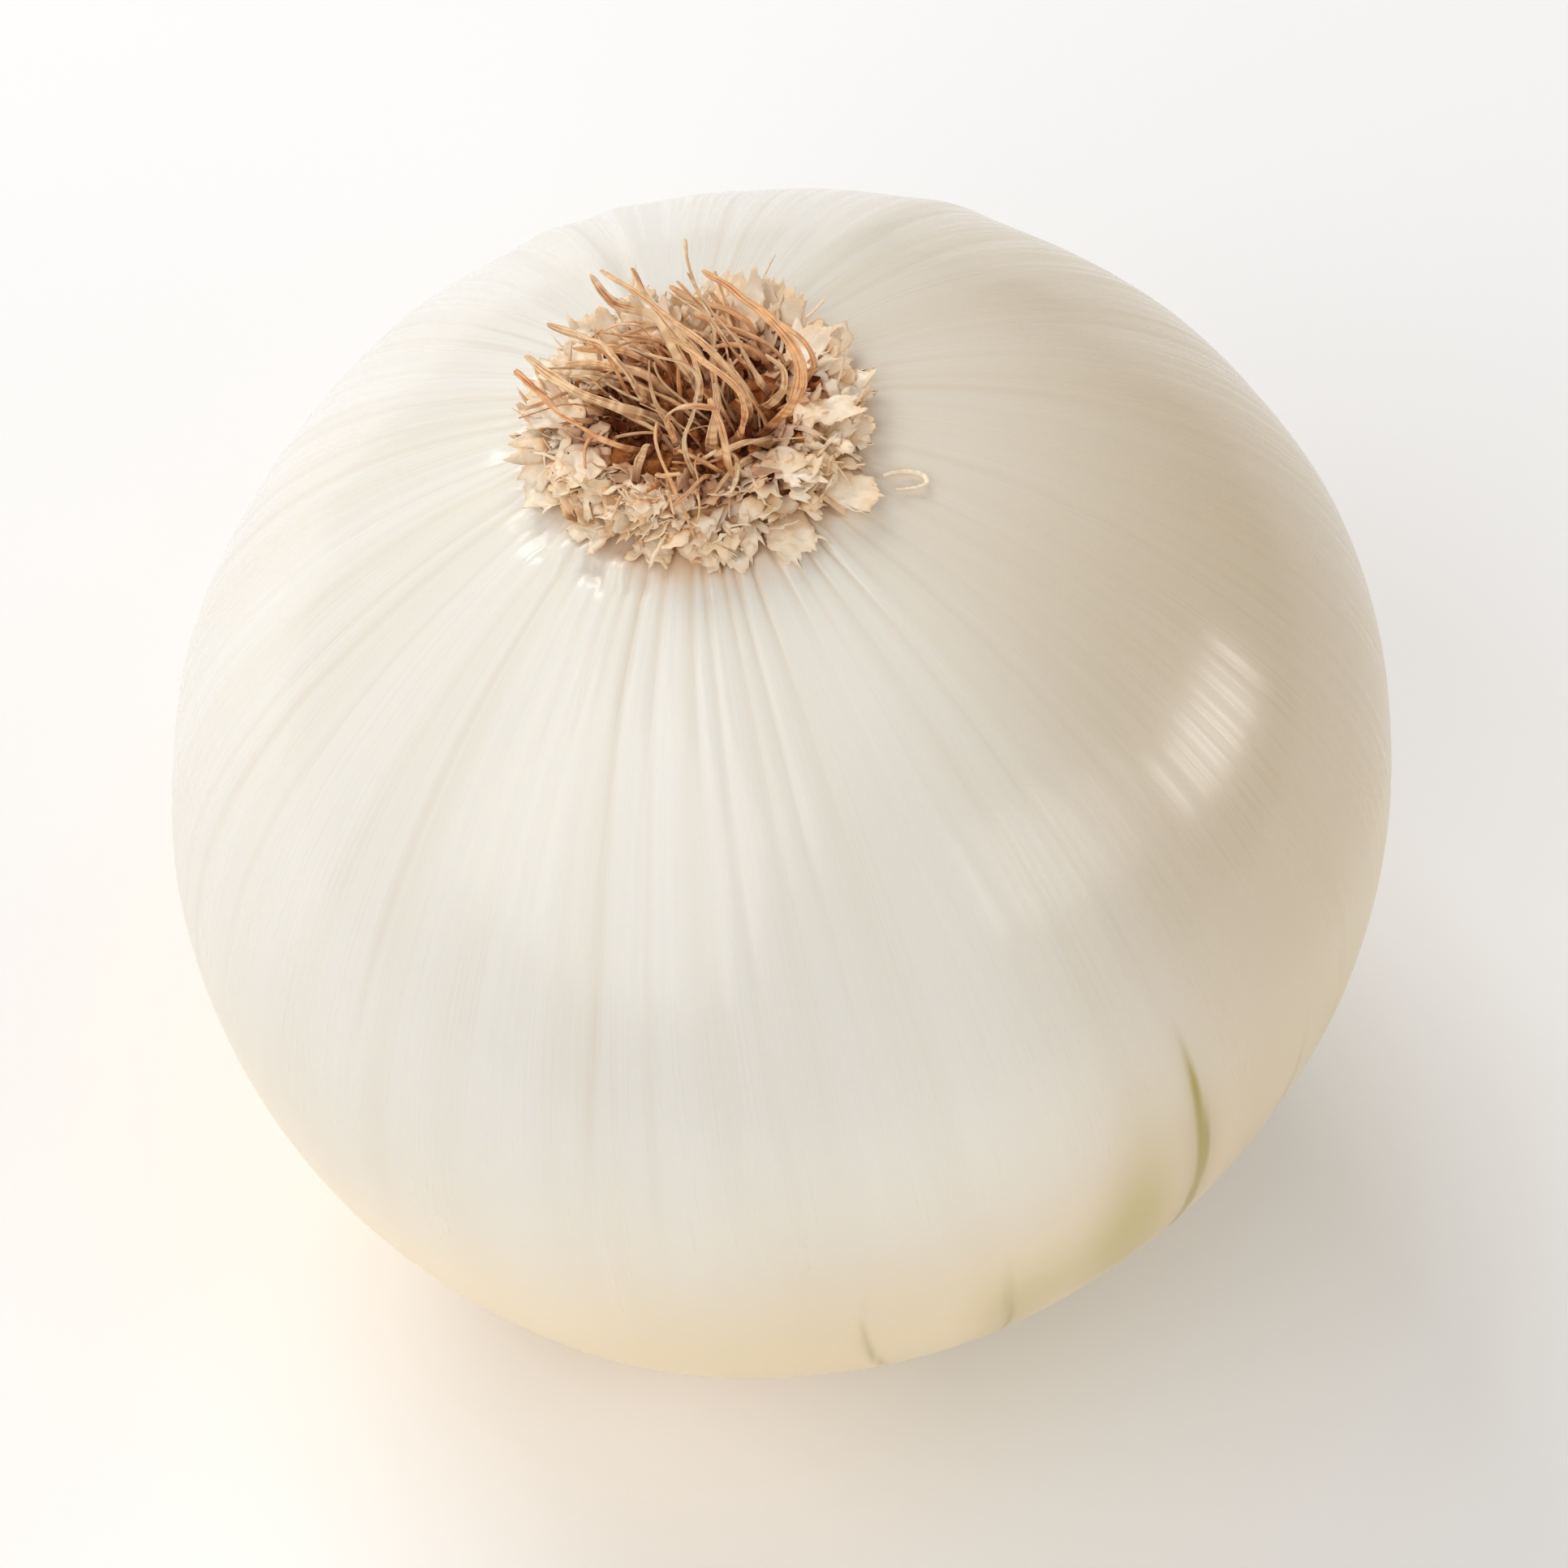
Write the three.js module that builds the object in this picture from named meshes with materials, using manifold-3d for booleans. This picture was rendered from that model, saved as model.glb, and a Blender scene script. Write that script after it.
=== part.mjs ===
// A large white onion, peeled of its dry coat, standing on its trimmed neck with the root end up.
// Millimetres, +Z up. The origin is the centre of the flat neck cut that the onion stands on.
import * as THREE from "three";
import { mergeVertices } from "three/addons/utils/BufferGeometryUtils.js";
import Module from "manifold-3d";

// Bulb, in its own frame: +Z along the axis towards the roots, origin at the middle of its widest ring.
const bulbRadius = 45;
const rootEndHeight = 38; // widest ring to the point where the root end would close
const neckEndHeight = 46; // widest ring to the point where the neck end would close
const rootEndFullness = { height: 1.8, radius: 1.95 }; // exponents of the outline, 2 and 2 for an ellipse
const axisLean = 8.4; // degrees that the root end leans towards -X when the onion stands
const bulbSegments = 56;

// The bulb isn't quite round: each lobe swells it at `at` degrees by `share` of its radius.
const lean = { at: 15, share: 0.013 }; // swells one side near the roots and the other near the neck
const oval = { at: 85, share: 0.0055 };
const threeCornered = { at: -5, share: 0.0055 };

// Neck: the outline leaves the rounded body at neckBlendDepth and runs into a short stub.
const neckRadius = 11.5;
const neckBlendDepth = 0.78 * neckEndHeight;
const neckStubDepth = neckEndHeight + 4;
const neckDrift = 4; // the stub sits this far off the axis, towards -X
const neckDriftStart = 15; // depth under the widest ring where the drift begins
const restHeight = neckEndHeight + 0.4; // widest ring's middle to the flat neck cut

// Root end: a flat seat on the bulb, the corky root plate on it, roots and torn skin round the plate.
const clearance = 0.3; // between any two pieces that touch
const plateRadius = 9.2;
const seatRadius = plateRadius + 3.3;
const plateThickness = 2.3;
const plateHollow = 1.1; // the plate's middle lies this much lower than its rim
const plateSegments = 36;
const plateUnevenness = 0.03;

// Roots and torn skin are laid out for a plate of 9.2 mm radius, and grow with the plate.
const tuftScale = plateRadius / 9.2;
const rootSides = 6;
const rootStepLength = 1.5 * tuftScale;
const scrapThickness = 0.4;
const threadRadius = 0.15;

const radians = THREE.MathUtils.degToRad;
const wasm = await Module();
wasm.setup();

const materials = {
  flesh: new THREE.MeshStandardMaterial({ color: 0xf1ece0, roughness: 0.3, metalness: 0 }),
  cork: new THREE.MeshStandardMaterial({ color: 0xa97c50, roughness: 0.9, metalness: 0 }),
  root: new THREE.MeshStandardMaterial({ color: 0xc69a6c, roughness: 0.75, metalness: 0 }),
  skin: new THREE.MeshStandardMaterial({ color: 0xead9bd, roughness: 0.55, metalness: 0 }),
};

// ---- Joining and cutting ----

function welded(geometry) {
  const bare = geometry.clone();
  bare.deleteAttribute("normal");
  bare.deleteAttribute("uv");
  return mergeVertices(bare, 1e-3);
}

function solidOf(geometry) {
  const closed = welded(geometry);
  return new wasm.Manifold(
    new wasm.Mesh({
      numProp: 3,
      vertProperties: new Float32Array(closed.attributes.position.array),
      triVerts: new Uint32Array(closed.index.array),
    }),
  );
}

function geometryOf(solid) {
  const mesh = solid.getMesh();
  const geometry = new THREE.BufferGeometry();
  geometry.setAttribute("position", new THREE.BufferAttribute(mesh.vertProperties, 3));
  geometry.setIndex(new THREE.BufferAttribute(mesh.triVerts, 1));
  geometry.computeVertexNormals();
  return geometry;
}

// ---- Bulb ----

// The outline's radius at a height above (+) or below (-) the widest ring, without the neck stub.
function bodyRadius(height) {
  if (height >= 0) {
    const share = (height / rootEndHeight) ** rootEndFullness.height;
    return bulbRadius * Math.max(0, 1 - share) ** (1 / rootEndFullness.radius);
  }
  return bulbRadius * Math.sqrt(Math.max(0, 1 - (height / neckEndHeight) ** 2));
}

// The height of the root end's surface at a radius.
function shoulderHeight(radius) {
  const share = (radius / bulbRadius) ** rootEndFullness.radius;
  return rootEndHeight * (1 - share) ** (1 / rootEndFullness.height);
}

const seatHeight = shoulderHeight(seatRadius);

function neckCurve() {
  const start = new THREE.Vector2(bodyRadius(-neckBlendDepth), -neckBlendDepth);
  const slope = ((bulbRadius / neckEndHeight) ** 2 * neckBlendDepth) / start.x;
  const handle = (neckEndHeight - neckBlendDepth) * 0.55;
  return new THREE.CubicBezierCurve(
    start,
    new THREE.Vector2(start.x - slope * handle, start.y - handle),
    new THREE.Vector2(neckRadius, -neckEndHeight + 2),
    new THREE.Vector2(neckRadius, -neckStubDepth),
  );
}

function bulbOutline() {
  const outline = [new THREE.Vector2(0, -neckStubDepth)];
  outline.push(...neckCurve().getPoints(9).reverse());
  const bodySteps = 22;
  for (let i = 1; i <= bodySteps; i++) {
    const from = Math.asin(-neckBlendDepth / neckEndHeight);
    const to = Math.asin(seatHeight / rootEndHeight);
    const angle = from + ((to - from) * i) / bodySteps;
    const height = Math.sin(angle) * (angle < 0 ? neckEndHeight : rootEndHeight);
    outline.push(new THREE.Vector2(i === bodySteps ? seatRadius : bodyRadius(height), height));
  }
  outline.push(new THREE.Vector2(0, seatHeight));
  return outline;
}

// Moves the round bulb's points to the lobed, slightly crooked shape that it grew to.
function growUneven(geometry) {
  const position = geometry.attributes.position;
  for (let i = 0; i < position.count; i++) {
    const [x, y, z] = [position.getX(i), position.getY(i), position.getZ(i)];
    const around = Math.atan2(y, x);
    const swell =
      1 +
      lean.share * Math.cos(around - radians(lean.at)) * (z / bulbRadius) +
      oval.share * Math.cos(2 * (around - radians(oval.at))) +
      threeCornered.share * Math.cos(3 * (around - radians(threeCornered.at)));
    const below = Math.max(0, -z - neckDriftStart) / (neckEndHeight - neckDriftStart);
    position.setXYZ(i, x * swell - neckDrift * below ** 2, y * swell, z);
  }
}

function bulbGeometry(standing) {
  const turned = new THREE.LatheGeometry(bulbOutline(), bulbSegments).rotateX(Math.PI / 2);
  growUneven(turned);
  const block = 4 * bulbRadius;
  const floor = new THREE.BoxGeometry(block, block, block).translate(0, 0, -block / 2);
  floor.applyMatrix4(standing.clone().invert());
  return geometryOf(solidOf(turned).subtract(solidOf(floor)));
}

// The middle of the neck cut, in the standing onion's frame.
function cutCentre(geometry, standing) {
  const box = new THREE.Box3();
  const point = new THREE.Vector3();
  for (let i = 0; i < geometry.attributes.position.count; i++) {
    point.fromBufferAttribute(geometry.attributes.position, i).applyMatrix4(standing);
    if (Math.abs(point.z) < 1e-3) box.expandByPoint(point);
  }
  return box.getCenter(new THREE.Vector3());
}

// ---- Root plate ----

// The plate's top above its underside, at a radius.
function plateTop(radius) {
  const inwards = Math.max(0, 1 - (radius / plateRadius) ** 2);
  return plateThickness - plateHollow * inwards ** 1.5;
}

function plateGeometry() {
  const chamfer = 0.5;
  const rim = plateRadius - chamfer;
  const outline = [
    new THREE.Vector2(0, 0),
    new THREE.Vector2(rim, 0),
    new THREE.Vector2(plateRadius, chamfer),
    new THREE.Vector2(plateRadius, plateTop(rim) - chamfer),
  ];
  const rings = 6;
  for (let i = rings; i >= 0; i--) {
    const radius = (rim * i) / rings;
    outline.push(new THREE.Vector2(radius, plateTop(radius)));
  }
  const geometry = new THREE.LatheGeometry(outline, plateSegments).rotateX(Math.PI / 2);
  const position = geometry.attributes.position;
  for (let i = 0; i < position.count; i++) {
    const around = Math.atan2(position.getY(i), position.getX(i));
    const inset = 1 - plateUnevenness * (0.5 + 0.3 * Math.sin(5 * around) + 0.2 * Math.sin(8 * around));
    position.setX(i, position.getX(i) * inset);
    position.setY(i, position.getY(i) * inset);
  }
  return geometry;
}

// ---- Roots ----

// Each root: its radius, then points from its foot to its tip, as [x, y, height over the foot].
const roots = [
  [0.36, [3.6, -1.4, 0], [4.4, -2.8, 4], [3.4, -2, 7], [1.4, -0.2, 8], [-2, 3.6, 8.1], [-5.2, 6.8, 8]],
  [0.4, [5.4, 0.8, 0], [5, -0.6, 4], [3.8, -0.2, 8], [2.4, 0.7, 11], [1.9, 1.5, 13], [1.8, 2.4, 15]],
  [0.34, [4.4, 2.6, 0], [4, 0.9, 4], [3, 0.7, 7], [2, 1.8, 8.7], [0.3, 4.1, 9]],
  [0.34, [4.8, -3, 0], [7.2, -3.2, 3], [8.4, -3, 6], [7.9, -1.7, 8], [6.4, 0.1, 9], [2.2, 4.6, 9]],
  [0.38, [-2.8, 1, 0], [-3.2, -0.6, 4], [-3.9, -0.3, 6], [-5.4, 1.7, 6], [-7.3, 3.9, 5], [-9.5, 5.9, 4]],
  [0.38, [-1.7, -0.4, 0], [-4.2, -1.3, 2.6], [-6.7, -0.8, 4], [-9.1, 1.1, 4.1], [-11.1, 3.3, 4]],
  [0.34, [-2.8, -3.4, 0], [-4.7, -4.1, 2], [-6.6, -3.6, 3], [-9.2, -1.3, 3.8], [-11.9, 2.5, 3.2]],
  [0.42, [-1, -4.4, 0], [-0.6, -5.5, 3], [-0.8, -5.7, 6], [0.4, -6, 7.6], [1.8, -6.6, 8.2], [3, -6.8, 8]],
  [0.45, [2.6, -3.2, 0], [3.9, -4.4, 3], [4.7, -5.2, 6], [4.2, -5.5, 9], [2.7, -4.6, 10], [0.7, -2.2, 9.4]],
  [0.4, [1, -6.4, 0], [0.3, -7.1, 2], [0.3, -6.3, 4], [1.3, -4.8, 6], [1.7, -4, 8], [-1.8, -1.9, 8.6]],
  [0.44, [3.2, -7.6, 0], [3, -7.6, 2], [2.9, -7.1, 4], [2.8, -6.4, 6], [2.4, -5.4, 7]],
  [0.34, [1.2, -4.4, 0], [1.9, -4.9, 3], [2.5, -4.3, 5], [2.7, -3.6, 7]],
  [0.44, [-3.8, -6.1, 0], [-3, -6.4, 3], [-2.1, -7.4, 5.2]],
  [0.28, [-2.2, -2, 0], [-1.9, -3.6, 3.6], [-1.6, -6.6, 4.4], [-0.8, -9, 3.8], [0.5, -12.6, 2]],
  [0.28, [-1.2, 2.4, 0], [-1.6, 2.4, 4], [-2.6, 2.9, 6.6], [-3.9, 2.7, 7.1], [-5.4, 2.2, 7]],
  [0.3, [0.6, 1.4, 0], [-0.2, 2, 3.6], [-2, 4.6, 5.6], [-3.7, 4.8, 6.4], [-4.9, 5.4, 7], [-6, 6.7, 8]],
  [0.32, [1.6, 2.6, 0], [0.5, 2.6, 4], [-0.6, 3, 6], [-1.5, 4, 6.8], [-2.2, 5.2, 7.2], [-2.9, 6.8, 8]],
  [0.36, [4.8, 4.8, 0], [4.4, 4.8, 3], [3, 4.4, 5], [1.2, 4.4, 6.2], [-0.4, 5.2, 7]],
  [0.34, [-2.2, 4, 0], [-3.4, 4.2, 1.4], [-5.2, 4.7, 2], [-8.1, 5.1, 1.9]],
  [0.32, [-0.8, 0.8, 0], [-2.8, 1.9, 2.2], [-4.9, 3, 2.2], [-8.6, 4.1, 2]],
  [0.32, [-4, 2, 0], [-5, 2.2, 1.1], [-6.4, 2.6, 1.4], [-8.2, 3, 1.5]],
  [0.34, [0.4, 5, 0], [-1.4, 4.4, 2.4], [-3.4, 4.3, 3.4], [-5.8, 4.8, 3.6]],
  [0.36, [4.2, -0.6, 0], [5.7, -1.6, 2], [6.9, -1.8, 3.8], [6.9, -1, 5], [5.9, 0.1, 5.2]],
  [0.32, [7.2, 0.4, 0], [8.6, 0.8, 1.6], [8.6, 1.5, 3], [7.7, 2.3, 4], [6.4, 3.4, 4.4]],
  [0.38, [5.9, -4, 0], [4.8, -4.9, 1.5], [3.6, -5.6, 2], [1.8, -5.9, 1.6]],
  [0.32, [6.4, 2.4, 0], [6.2, 2.8, 2], [4.6, 3.3, 3.2], [2.6, 4.2, 3.6], [0.8, 5.2, 4]],
  [0.34, [0.2, 0.4, 0], [0.8, -1, 3], [1.2, -1.4, 5.4], [0.6, 0.4, 6.8], [-0.4, 1.2, 7]],
  [0.3, [2.2, 0.4, 0], [1.8, 0.8, 3], [2.4, 2.2, 5.6], [1.6, 4, 7.6], [0.8, 5.8, 8.4]],
];

function tube(path, radius, steps) {
  const section = new THREE.Shape(
    Array.from({ length: rootSides }, (_, i) => {
      const angle = (2 * Math.PI * i) / rootSides;
      return new THREE.Vector2(radius * Math.cos(angle), radius * Math.sin(angle));
    }),
  );
  return new THREE.ExtrudeGeometry(section, { steps, extrudePath: path, bevelEnabled: false });
}

function rootGeometry([drawnRadius, ...drawn]) {
  const radius = drawnRadius * tuftScale;
  const points = drawn.map((point) => new THREE.Vector3(...point).multiplyScalar(tuftScale));
  const [foot, next] = points;
  const start = next.clone().sub(foot).normalize();
  const tilt = radius * Math.hypot(start.x, start.y); // the low side of a slanting foot
  const seat = plateTop(Math.hypot(foot.x, foot.y) + radius) + clearance + tilt;
  points.forEach((point) => (point.z += seat));
  const path = new THREE.CatmullRomCurve3(points);
  return tube(path, radius, Math.round(path.getLength() / rootStepLength));
}

// ---- Torn skin ----

// Each scrap: degrees round the plate, length, width, slope at the plate and at the tip in degrees.
const lowerScraps = [
  [10, 2.6, 2.8, 10, 15],
  [34, 2.2, 3, 15, 30],
  [58, 2.8, 3, 20, 35],
  [84, 2.6, 3, 10, 10],
  [110, 2.6, 3, 5, 0],
  [134, 2.6, 3, 10, 5],
  [160, 2.8, 2.8, 8, 5],
  [184, 2.6, 2.8, 5, -5],
  [206, 3, 2.8, 3, -8],
  [230, 2.4, 2.8, 0, -10],
  [254, 2.2, 2.8, 0, -10],
  [280, 3, 2.8, 0, -10],
  [303, 4.2, 3.2, 0, -12],
  [327, 5, 2.6, 2, -10],
  [349, 2.6, 2.6, 5, 0],
];
const upperScraps = [
  [22, 2.6, 2.6, 20, 35],
  [64, 3, 2.8, 35, 55],
  [112, 2.8, 2.6, 20, 5],
  [148, 2.8, 2.6, 10, 0],
  [178, 3.4, 2.8, 12, -5],
  [213, 2.8, 2.8, 8, -10],
  [250, 2.4, 2.6, 5, -15],
  [318, 3.6, 2.6, 8, -6],
  [350, 3.8, 2.2, 12, 0],
];
const scrapRows = [
  // beside the plate, over the bulb's shoulder; heights are over the plate's underside
  { scraps: lowerScraps, innerRadius: plateRadius + 0.4, height: clearance },
  // on the plate's rim
  { scraps: upperScraps, innerRadius: plateRadius - 1.4, height: plateThickness + clearance },
];

// A bent strip: its side outline in the radial plane, drawn out to its width.
function scrapGeometry([, length, width, slope, tipSlope]) {
  const steps = 4;
  const upper = [];
  const lower = [];
  const half = scrapThickness / 2;
  let [along, up] = [0, half];
  for (let i = 0; i <= steps; i++) {
    const angle = radians(slope + ((tipSlope - slope) * i) / steps);
    upper.push(new THREE.Vector2(along - half * Math.sin(angle), up + half * Math.cos(angle)));
    lower.push(new THREE.Vector2(along + half * Math.sin(angle), up - half * Math.cos(angle)));
    along += ((length * tuftScale) / steps) * Math.cos(angle);
    up += ((length * tuftScale) / steps) * Math.sin(angle);
  }
  const side = new THREE.Shape([...upper, ...lower.reverse()]);
  const drawnOut = width * tuftScale;
  const strip = new THREE.ExtrudeGeometry(side, { depth: drawnOut, bevelEnabled: false });
  return strip.translate(0, 0, -drawnOut / 2).rotateX(Math.PI / 2);
}

// A torn thread of skin that lies on the bulb beside the plate, as [radius, degrees round].
const thread = [
  [15.2, -26],
  [16, -24.5],
  [16.7, -22.5],
  [16.9, -20.5],
  [16.2, -18.8],
  [15.2, -18.8],
];

function threadGeometry() {
  const path = new THREE.CatmullRomCurve3(
    thread.map(([drawnRadius, degrees]) => {
      const radius = drawnRadius * tuftScale;
      const around = radians(degrees);
      const height = shoulderHeight(radius) + clearance + 2 * threadRadius;
      return new THREE.Vector3(radius * Math.cos(around), radius * Math.sin(around), height);
    }),
  );
  return tube(path, threadRadius, 14);
}

// ---- Assembly ----

function piece(name, geometry, material, parent) {
  const mesh = new THREE.Mesh(geometry, material);
  mesh.name = name;
  parent.add(mesh);
  return mesh;
}

const numbered = (name, index) => `${name}_${String(index + 1).padStart(2, "0")}`;

const part = new THREE.Group();
const onion = new THREE.Group();
part.add(onion);
onion.rotation.y = -radians(axisLean);
onion.position.z = restHeight;
onion.updateMatrixWorld(true);

const bulb = piece("bulb", bulbGeometry(onion.matrixWorld), materials.flesh, onion);
const cut = cutCentre(bulb.geometry, onion.matrixWorld);
onion.position.x -= cut.x;
onion.position.y -= cut.y;

const rootEnd = new THREE.Group();
rootEnd.position.z = seatHeight + clearance;
onion.add(rootEnd);
piece("root_plate", plateGeometry(), materials.cork, rootEnd);
roots.forEach((root, i) => piece(numbered("root", i), rootGeometry(root), materials.root, rootEnd));

let scrapCount = 0;
for (const { scraps, innerRadius, height } of scrapRows) {
  for (const scrap of scraps) {
    const around = radians(scrap[0]);
    const name = numbered("skin_scrap", scrapCount++);
    const mesh = piece(name, scrapGeometry(scrap), materials.skin, rootEnd);
    mesh.position.set(innerRadius * Math.cos(around), innerRadius * Math.sin(around), height);
    mesh.rotation.z = around;
  }
}
piece("skin_thread", threadGeometry(), materials.skin, onion);

export default part;
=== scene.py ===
# A large white onion, peeled of its dry coat, standing root end up on its trimmed neck.
# Blender works in metres. Sizes here are in millimetres, and MM turns them into metres.
import math
import random

import bmesh
import bpy
import numpy as np
from mathutils import Matrix, Vector, noise


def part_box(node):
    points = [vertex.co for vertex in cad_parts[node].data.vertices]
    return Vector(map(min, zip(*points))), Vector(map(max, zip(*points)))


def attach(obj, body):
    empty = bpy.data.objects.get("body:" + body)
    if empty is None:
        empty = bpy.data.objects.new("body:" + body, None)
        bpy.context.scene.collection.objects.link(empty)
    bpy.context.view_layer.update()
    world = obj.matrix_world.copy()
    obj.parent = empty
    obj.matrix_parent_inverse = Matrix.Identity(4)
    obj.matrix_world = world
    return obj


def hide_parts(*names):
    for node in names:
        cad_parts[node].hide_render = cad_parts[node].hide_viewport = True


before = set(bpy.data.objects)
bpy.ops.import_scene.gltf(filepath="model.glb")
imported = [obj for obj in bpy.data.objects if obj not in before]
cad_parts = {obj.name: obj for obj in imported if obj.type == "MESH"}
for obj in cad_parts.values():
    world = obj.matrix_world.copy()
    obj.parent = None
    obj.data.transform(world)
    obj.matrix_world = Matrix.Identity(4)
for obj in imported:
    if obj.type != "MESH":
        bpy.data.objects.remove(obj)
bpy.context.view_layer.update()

MM = 0.001

# ---- Camera ----
# A long lens looks down at the root end from the front, as a cook would see the onion on a board.
AXIS_LEAN = math.radians(8.4)  # the root end leans towards -X
BULB_MIDDLE = Vector((-0.95, 0.03, 46.4))  # middle of the widest ring, over the neck cut
CAMERA_ELEVATION = math.radians(52.3)
CAMERA_DISTANCE = 500
LENS, SENSOR = 157.1, 36
OFF_CENTRE = (0.0062, -0.0199)  # the onion stands a little left of and above the frame's middle

camera = bpy.data.objects.new("camera", bpy.data.cameras.new("camera"))
camera.data.lens, camera.data.sensor_width = LENS, SENSOR
camera.data.shift_x, camera.data.shift_y = OFF_CENTRE
camera.data.clip_start, camera.data.clip_end = 0.05, 20
backwards = Vector((0, -math.cos(CAMERA_ELEVATION), math.sin(CAMERA_ELEVATION)))
camera.location = (BULB_MIDDLE + CAMERA_DISTANCE * backwards) * MM
camera.rotation_euler = (math.pi / 2 - CAMERA_ELEVATION, 0, 0)
bpy.context.scene.collection.objects.link(camera)
bpy.context.scene.camera = camera
bpy.context.scene.view_settings.view_transform = "Standard"

# ---- Floor and light ----
# A wide matt white table, a pale surround and soft boxes: a large one on the left behind the onion,
# one over its front left, and a long low strip on the right that draws the streak on its shoulder.


def shade(red, green, blue):
    """A colour as it looks on a screen, 0 to 255, as the light values that a shader takes."""
    linear = [((c / 255 + 0.055) / 1.055) ** 2.4 if c > 10 else c / 3295 for c in (red, green, blue)]
    return (*linear, 1)


def node(tree, kind, inputs=None, **settings):
    """Adds a shader node. An input is set to a value, or joined to another node's output."""
    made = tree.nodes.new(kind)
    for name, value in settings.items():
        setattr(made, name, value)
    for name, value in (inputs or {}).items():
        if isinstance(value, bpy.types.NodeSocket):
            tree.links.new(value, made.inputs[name])
        else:
            made.inputs[name].default_value = value
    return made


def finish_named(name, **sockets):
    """A new material and its main shader, with the sockets that are the same all over."""
    made = bpy.data.materials.new(name)
    made.use_nodes = True
    shader = made.node_tree.nodes["Principled BSDF"]
    for socket, value in sockets.items():
        shader.inputs[socket.replace("_", " ")].default_value = value
    return made, made.node_tree, shader


def blend(tree, factor, first, second, kind="MIX"):
    """The colour between two colours."""
    inputs = {0: factor, 6: first, 7: second}
    return node(tree, "ShaderNodeMix", inputs, data_type="RGBA", blend_type=kind).outputs[2]


def between(tree, value, low, high, to_low=0.0, to_high=1.0):
    """A value's place between low and high, as a number between to_low and to_high."""
    inputs = {0: value, 1: low, 2: high, 3: to_low, 4: to_high}
    return node(tree, "ShaderNodeMapRange", inputs, interpolation_type="SMOOTHSTEP").outputs[0]


def speckle(tree, where, scale, detail=3.0, roughness=0.5):
    """Cloudy noise from 0 to 1."""
    inputs = {"Vector": where, "Scale": scale, "Detail": detail, "Roughness": roughness}
    return node(tree, "ShaderNodeTexNoise", inputs).outputs[0]


def stretched(tree, where, scale):
    """Coordinates scaled by a different amount each way."""
    return node(tree, "ShaderNodeMapping", {"Vector": where, "Scale": scale}).outputs[0]


def rough_surface(tree, shader, height, strength, distance):
    """Gives a shader the bumps that a height makes; the distance is in millimetres."""
    inputs = {"Height": height, "Strength": strength, "Distance": distance * MM}
    bump = node(tree, "ShaderNodeBump", inputs)
    for socket in ("Normal", "Coat Normal"):
        tree.links.new(bump.outputs[0], shader.inputs[socket])


def solid(name, bm, *finishes):
    """A new smooth-shaded object of a mesh, at the origin."""
    mesh = bpy.data.meshes.new(name)
    bm.to_mesh(mesh)
    bm.free()
    mesh.shade_smooth()
    for finish in finishes:
        mesh.materials.append(finish)
    made = bpy.data.objects.new(name, mesh)
    bpy.context.scene.collection.objects.link(made)
    return made


bm = bmesh.new()
bmesh.ops.create_grid(bm, x_segments=1, y_segments=1, size=6)
bmesh.ops.translate(bm, verts=bm.verts, vec=(0, 0, -0.05 * MM))
table_white, tree, shader = finish_named("table_white", Roughness=0.6, Specular_IOR_Level=0.2)
coordinates = node(tree, "ShaderNodeTexCoord").outputs["Object"]
mottle = speckle(tree, coordinates, 3)
colour = blend(tree, mottle, shade(251, 251, 252), shade(253, 253, 254))
tree.links.new(colour, shader.inputs["Base Color"])
table_top = solid("table_top", bm, table_white)

surround = bpy.data.worlds.new("surround")
bpy.context.scene.world = surround
surround.use_nodes = True
surround.node_tree.nodes["Background"].inputs["Color"].default_value = (1, 0.985, 0.965, 1)
surround.node_tree.nodes["Background"].inputs["Strength"].default_value = 0.34

# name: azimuth (0 in front, 90 on the right), elevation, distance, width, height, roll, watts
SOFT_BOXES = {
    "key_left": (-145, 44, 900, 520, 440, 0, 3.9),
    "front_left": (-42, 42, 900, 900, 760, 0, 3.6),
    "window_right": (93, 17, 800, 380, 170, -15, 1.2),
    "veil_right": (56, 31, 800, 460, 240, -20, 0.7),
}
for name, (azimuth, elevation, distance, width, height, roll, watts) in SOFT_BOXES.items():
    box = bpy.data.lights.new(name, "AREA")
    box.shape, box.size, box.size_y = "RECTANGLE", width * MM, height * MM
    box.energy, box.color = watts, (1, 0.99, 0.975)
    lamp = bpy.data.objects.new(name, box)
    turn, lift = math.radians(azimuth), math.radians(elevation)
    towards = Vector((math.sin(turn) * math.cos(lift), -math.cos(turn) * math.cos(lift), math.sin(lift)))
    lamp.location = (BULB_MIDDLE + distance * towards) * MM
    facing = towards.to_track_quat("Z", "Y").to_matrix() @ Matrix.Rotation(math.radians(roll), 3, "Z")
    lamp.rotation_euler = facing.to_euler()
    lamp.visible_camera = False
    bpy.context.scene.collection.objects.link(lamp)

# ---- Bulb ----
# Fleshy leaves grown round each other, peeled to a clean glossy one. Its veins run from the root
# plate to the neck, as pleats near the plate and as faint lines lower down, and the trimmed neck
# shows the ends of the leaves as rings.
BULB_RADIUS = 45
ROOT_END_HEIGHT = 38  # from the widest ring up to where the root end would close
NECK_END_HEIGHT = 46  # from the widest ring down to where the neck end would close
NECK_RADIUS = 11.5
NECK_DRIFT = 4  # the neck leans back under the bulb by this much
SEAT_RADIUS = 12.5  # of the flat that the root plate grows on
LOBES = ((1, 15, 0.013), (2, 85, 0.0055), (3, -5, 0.0055))  # how many, at how many degrees, share
VEINS = 66
ROUND_STEPS = 528

IN_PLACE = Matrix.Scale(MM, 4) @ Matrix.Translation(BULB_MIDDLE) @ Matrix.Rotation(-AXIS_LEAN, 4, "Y")


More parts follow.
